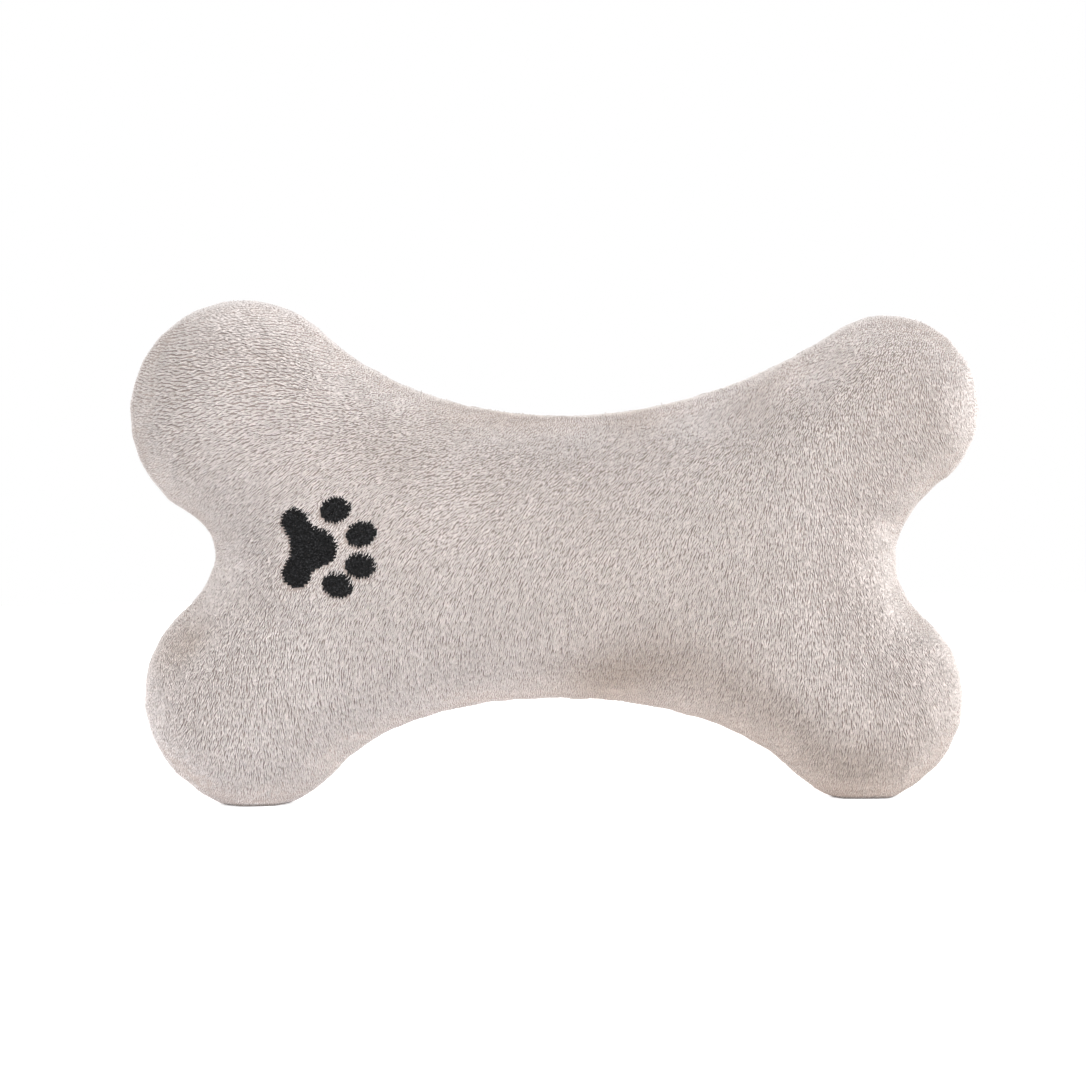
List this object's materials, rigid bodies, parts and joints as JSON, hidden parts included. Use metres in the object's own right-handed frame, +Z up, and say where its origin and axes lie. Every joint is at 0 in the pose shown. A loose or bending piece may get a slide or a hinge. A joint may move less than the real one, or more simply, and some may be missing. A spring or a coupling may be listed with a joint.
{
  "type": "plush bone dog toy",
  "caption": "Stuffed plush dog toy in the shape of a bone, with an embroidered paw print on one face and a squeaker inside.",
  "frame": {"origin": "on the floor under the middle of the toy, which stands on its two lower knobs", "axes": "+X along the bone to the right as seen from the front, -Y the front with the paw print, +Z up"},
  "size_m": [0.1998, 0.0604, 0.119],
  "materials": {
    "plush": "short brushed pile, pale warm grey",
    "sewing_thread": "spun polyester thread, matched grey",
    "backing_sheet": "white non-woven sheet",
    "embroidery": "black rayon fill stitch, slight sheen",
    "fibre": "white polyester fibre",
    "soft_plastic": "soft milky moulded plastic",
    "hard_plastic": "hard white moulded plastic",
    "reed_film": "springy plastic film"
  },
  "bodies": {
    "toy": {"front_panel": "plush", "back_panel": "plush", "seam_thread": "sewing_thread", "closing_thread": "sewing_thread", "embroidery_backing": "backing_sheet", "paw_pad": "embroidery", "paw_toe_1": "embroidery", "paw_toe_2": "embroidery", "paw_toe_3": "embroidery", "paw_toe_4": "embroidery", "upper_left_filling": "fibre", "upper_right_filling": "fibre", "lower_right_filling": "fibre", "lower_left_filling": "fibre", "shaft_filling_front": "fibre", "shaft_filling_back": "fibre", "squeaker_bulb": "soft_plastic", "whistle_sleeve": "hard_plastic", "reed_block": "hard_plastic", "reed_clamp": "hard_plastic"},
    "reed_tongue": {"reed": "reed_film"}
  },
  "joints": [
    {"name": "reed_flex", "type": "hinge", "parent": "toy", "child": "reed_tongue", "pos_m": [0.0136, 0, 0.0575], "axis": [0, 1, 0], "range_deg": [-3, 3], "stiffness_Nm_per_rad": 0.0002}
  ]
}
